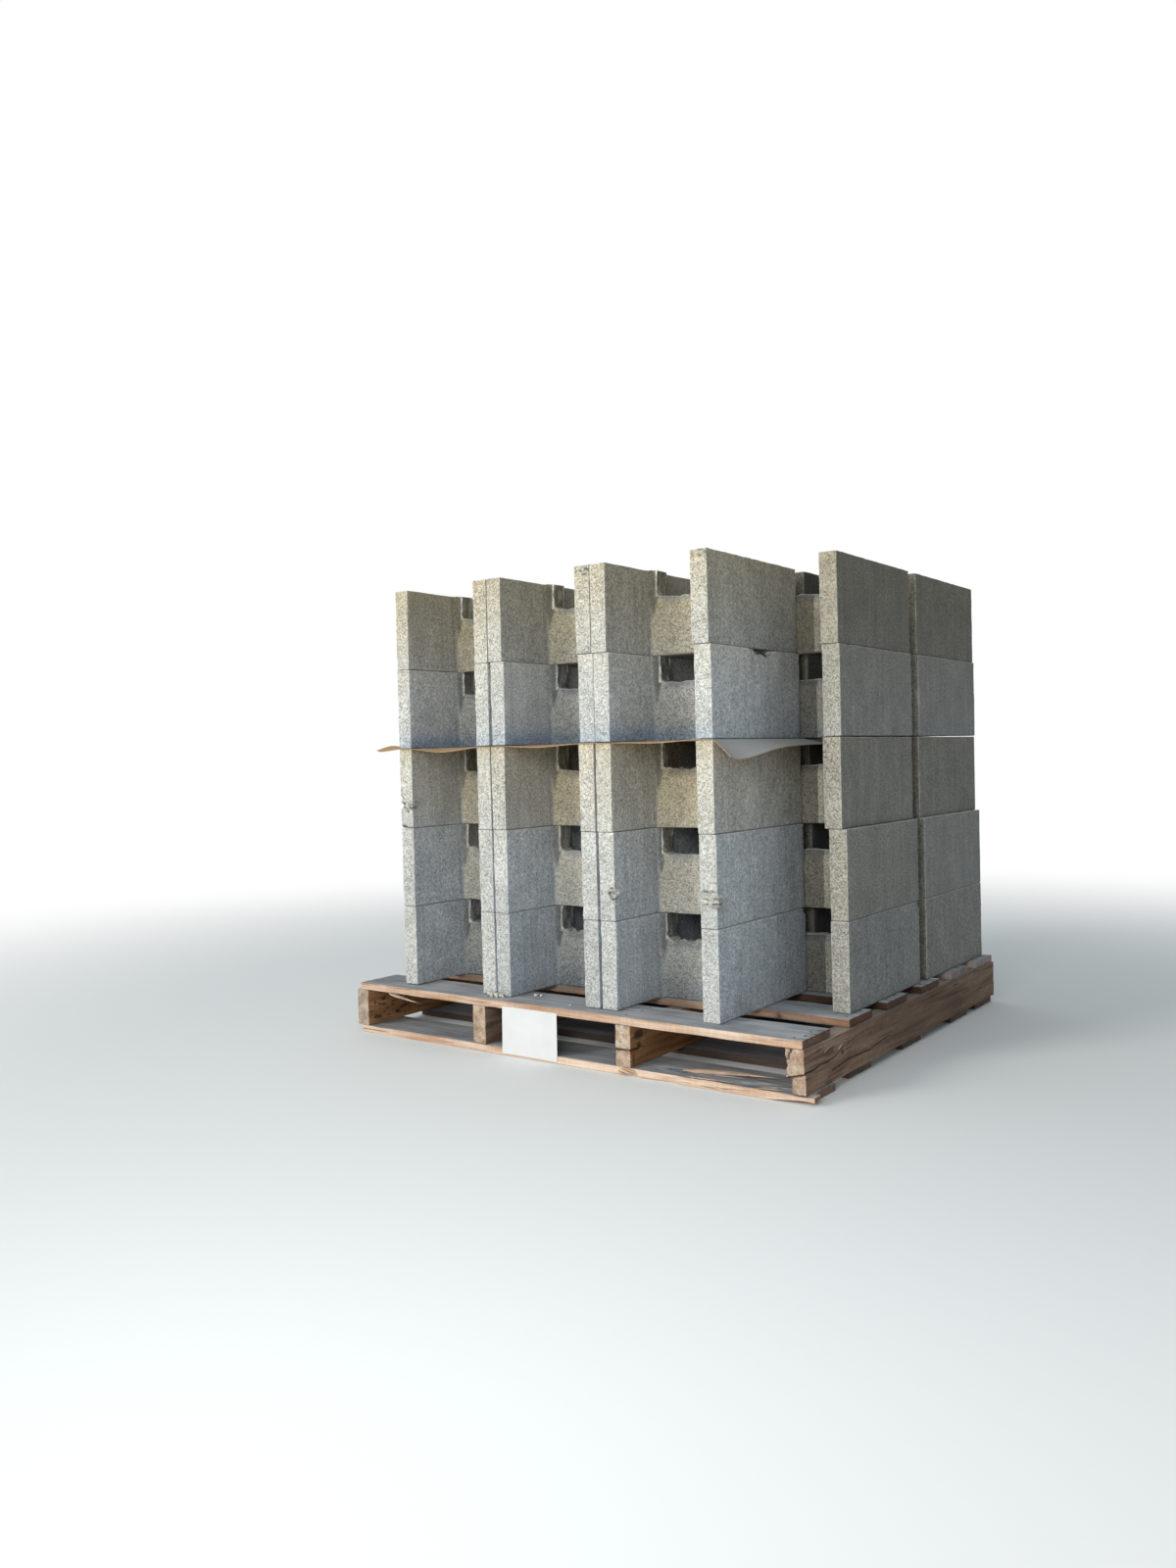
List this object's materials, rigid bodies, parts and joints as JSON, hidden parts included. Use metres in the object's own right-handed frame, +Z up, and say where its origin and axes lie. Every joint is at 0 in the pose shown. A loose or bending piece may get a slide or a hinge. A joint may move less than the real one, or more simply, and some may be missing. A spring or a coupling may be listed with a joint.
{
  "type": "pallet of concrete blocks",
  "caption": "Wooden stringer pallet stacked with interlocked rows of open-ended bond-beam concrete blocks, with a paper sheet between two courses and a blank card.",
  "frame": {"origin": "on the floor under the middle of the pallet, on the underside of the middle bottom board", "axes": "+X to the right along the front, +Y from the front to the back, +Z up"},
  "size_m": [1.255, 1.1188, 1.094],
  "materials": {
    "concrete": "rough cast, granular",
    "board_wood": "rough sawn, weathered grey on top",
    "stringer_wood": "rough sawn, weathered brown",
    "kraft_paper": "matte kraft paper",
    "card": "matte white card"
  },
  "bodies": {
    "root": {"stringer_left": "stringer_wood", "stringer_middle_left": "stringer_wood", "stringer_middle_right": "stringer_wood", "stringer_right": "stringer_wood", "deck_board_1": "board_wood", "deck_board_2": "board_wood", "deck_board_3": "board_wood", "deck_board_4": "board_wood", "deck_board_5": "board_wood", "deck_board_6": "board_wood", "bottom_board_1": "board_wood", "bottom_board_2": "board_wood", "bottom_board_3": "board_wood", "bottom_board_4": "board_wood", "bottom_board_5": "board_wood", "blocks_course_1_row_1": "concrete", "blocks_course_1_row_2": "concrete", "blocks_course_1_row_3": "concrete", "blocks_course_1_row_4": "concrete", "blocks_course_2_row_1": "concrete", "blocks_course_2_row_2": "concrete", "blocks_course_2_row_3": "concrete", "blocks_course_2_row_4": "concrete", "blocks_course_3_row_1": "concrete", "blocks_course_3_row_2": "concrete", "blocks_course_3_row_3": "concrete", "blocks_course_3_row_4": "concrete", "blocks_course_4_row_1": "concrete", "blocks_course_4_row_2": "concrete", "blocks_course_4_row_3": "concrete", "blocks_course_4_row_4": "concrete", "blocks_course_5_row_1": "concrete", "blocks_course_5_row_2": "concrete", "blocks_course_5_row_3": "concrete", "blocks_course_5_row_4": "concrete", "interleaf_sheet": "kraft_paper", "number_card": "card"}
  },
  "joints": []
}
